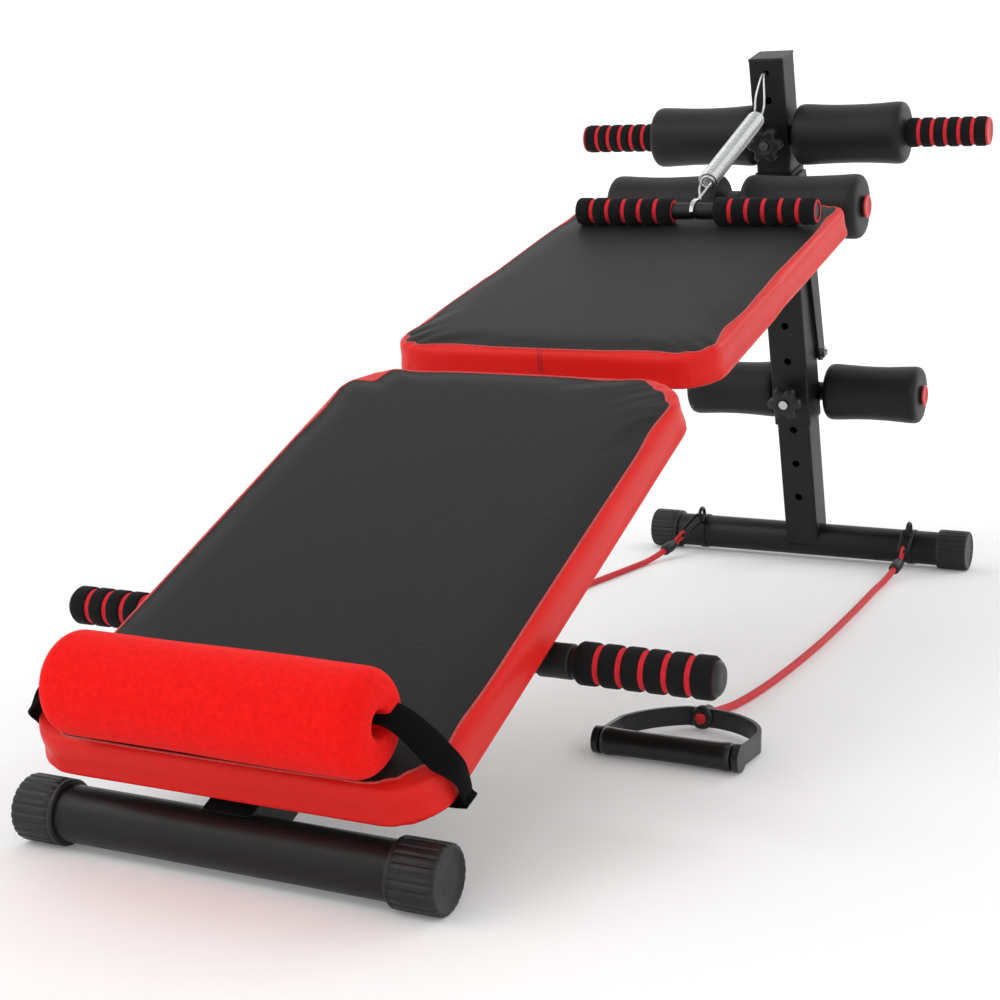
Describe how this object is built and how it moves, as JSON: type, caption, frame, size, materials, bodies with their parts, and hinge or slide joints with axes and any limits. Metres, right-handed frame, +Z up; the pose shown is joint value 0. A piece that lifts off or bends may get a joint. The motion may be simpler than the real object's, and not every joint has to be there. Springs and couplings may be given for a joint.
{
  "type": "decline sit up bench",
  "caption": "Decline sit up bench: two padded boards on a bent beam, a folding leaning post, foam rollers, spring hand bar, head pillow and floor cords with D handles.",
  "frame": {"origin": "middle of the footprint at floor level, without the floor cords", "axes": "+Z up, +Y along the bench from the head pillow to the post, +X to one side; length runs along Y"},
  "size_m": [0.623, 1.491, 0.6817],
  "materials": {
    "frame_black": "satin black powder coat",
    "cap_black": "ribbed moulded plastic",
    "zinc": "zinc plated steel",
    "plywood": "dark stained plywood",
    "pad_cover": "grained leatherette, charcoal top and red sides",
    "foam_black": "skinned black foam",
    "grip_foam": "matt black foam with red rings",
    "collar_black": "black rubber",
    "plug_red": "red moulded plastic",
    "knob_black": "moulded plastic",
    "pillow_red": "speckled red foam",
    "webbing_black": "woven webbing",
    "hook_black": "black coated steel wire",
    "cord_red": "red elastic cord",
    "ferrule_black": "black rubber sleeve",
    "handle_black": "moulded plastic"
  },
  "bodies": {
    "bench_frame": {"main_beam": "frame_black", "fold_bracket": "frame_black", "pivot_bolt": "zinc", "front_foot": "frame_black", "front_foot_caps": "cap_black", "board_brackets": "frame_black", "board_screws": "zinc", "lower_base": "plywood", "lower_pad": "pad_cover", "upper_base": "plywood", "upper_pad": "pad_cover", "push_bar": "frame_black", "push_grips": "grip_foam", "push_collars": "collar_black", "push_bar_plugs": "cap_black", "knee_upright": "frame_black", "knee_bar": "frame_black", "knee_bar_plugs": "plug_red"},
    "carriage": {"sleeve": "frame_black", "mast": "frame_black", "mast_cap": "cap_black", "hold_bar": "frame_black", "hold_grips": "grip_foam", "hold_bar_plugs": "plug_red", "foot_bar": "frame_black", "foot_bar_plugs": "plug_red", "lock_bolt": "zinc", "pull_spring": "zinc"},
    "stand": {"post": "frame_black", "rear_foot": "frame_black", "rear_foot_caps": "cap_black"},
    "height_knob": {"height_knob": "knob_black", "height_screw": "zinc"},
    "bar_knob": {"bar_knob": "knob_black", "bar_screw": "zinc"},
    "lock_knob": {"lock_knob": "knob_black"},
    "hand_bar": {"hand_bar": "zinc", "hand_grips": "grip_foam"},
    "pillow": {"head_pillow": "pillow_red", "pillow_strap": "webbing_black"},
    "cord_set_left": {"cord_clamp_left": "frame_black", "snap_hook_left": "hook_black", "cord_loop_left": "cord_red", "cord_ferrule_left": "ferrule_black", "cord_left": "cord_red", "handle_bail_left": "handle_black", "handle_grip_left": "handle_black"},
    "hold_roller_left": {"hold_roller_left": "foam_black"},
    "foot_roller_left": {"foot_roller_left": "foam_black"},
    "knee_roller_left": {"knee_roller_left": "foam_black"},
    "cord_set_right": {"cord_clamp_right": "frame_black", "snap_hook_right": "hook_black", "cord_loop_right": "cord_red", "cord_ferrule_right": "ferrule_black", "cord_right": "cord_red", "handle_bail_right": "handle_black", "handle_grip_right": "handle_black"},
    "hold_roller_right": {"hold_roller_right": "foam_black"},
    "foot_roller_right": {"foot_roller_right": "foam_black"},
    "knee_roller_right": {"knee_roller_right": "foam_black"}
  },
  "joints": [
    {"name": "fold_hinge", "type": "hinge", "parent": "bench_frame", "child": "carriage", "pos_m": [0, 0.67309, 0.29241], "axis": [-1, 0, 0], "range_deg": [0, 80]},
    {"name": "height_slide", "type": "slide", "parent": "carriage", "child": "stand", "axis": [0, -0.284, 0.9588], "range_m": [0, 0.15]},
    {"name": "height_knob_spin", "type": "hinge", "parent": "carriage", "child": "height_knob", "pos_m": [0, 0.61703, 0.22992], "axis": [0, 0.9588, 0.284], "continuous": true},
    {"name": "bar_knob_spin", "type": "hinge", "parent": "carriage", "child": "bar_knob", "pos_m": [0, 0.51762, 0.5655], "axis": [0, 0.9588, 0.284], "continuous": true},
    {"name": "lock_knob_spin", "type": "hinge", "parent": "carriage", "child": "lock_knob", "pos_m": [0.038, 0.57557, 0.5107], "axis": [1, 0, 0], "continuous": true},
    {"name": "hand_bar_pull", "type": "slide", "parent": "carriage", "child": "hand_bar", "axis": [0, -0.9583, -0.2857], "range_m": [0, 0.2], "stiffness_N_per_m": 350, "springref_m": -0.03, "deforming": ["pull_spring"]},
    {"name": "pillow_slide", "type": "slide", "parent": "bench_frame", "child": "pillow", "axis": [0, 0.9026, 0.4305], "range_m": [0, 0.12]},
    {"name": "cord_left_swing", "type": "hinge", "parent": "stand", "child": "cord_set_left", "pos_m": [-0.149, 0.719, 0.0265], "axis": [-1, 0, 0], "range_deg": [-92, 2]},
    {"name": "hold_roller_left_spin", "type": "hinge", "parent": "carriage", "child": "hold_roller_left", "pos_m": [-0.093, 0.55597, 0.57686], "axis": [1, 0, 0], "continuous": true},
    {"name": "foot_roller_left_spin", "type": "hinge", "parent": "carriage", "child": "foot_roller_left", "pos_m": [-0.097, 0.69598, 0.23661], "axis": [1, 0, 0], "continuous": true},
    {"name": "knee_roller_left_spin", "type": "hinge", "parent": "bench_frame", "child": "knee_roller_left", "pos_m": [-0.087, 0.408, 0.4875], "axis": [1, 0, 0], "continuous": true},
    {"name": "cord_right_swing", "type": "hinge", "parent": "stand", "child": "cord_set_right", "pos_m": [0.149, 0.719, 0.0265], "axis": [-1, 0, 0], "range_deg": [-92, 2]},
    {"name": "hold_roller_right_spin", "type": "hinge", "parent": "carriage", "child": "hold_roller_right", "pos_m": [0.099, 0.55597, 0.57686], "axis": [1, 0, 0], "continuous": true},
    {"name": "foot_roller_right_spin", "type": "hinge", "parent": "carriage", "child": "foot_roller_right", "pos_m": [0.097, 0.69598, 0.23661], "axis": [1, 0, 0], "continuous": true},
    {"name": "knee_roller_right_spin", "type": "hinge", "parent": "bench_frame", "child": "knee_roller_right", "pos_m": [0.087, 0.408, 0.4875], "axis": [1, 0, 0], "continuous": true}
  ],
  "couplings": [
    {"joint": "cord_left_swing", "follows": "fold_hinge", "ratio": -1.124},
    {"joint": "cord_right_swing", "follows": "fold_hinge", "ratio": -1.124}
  ]
}
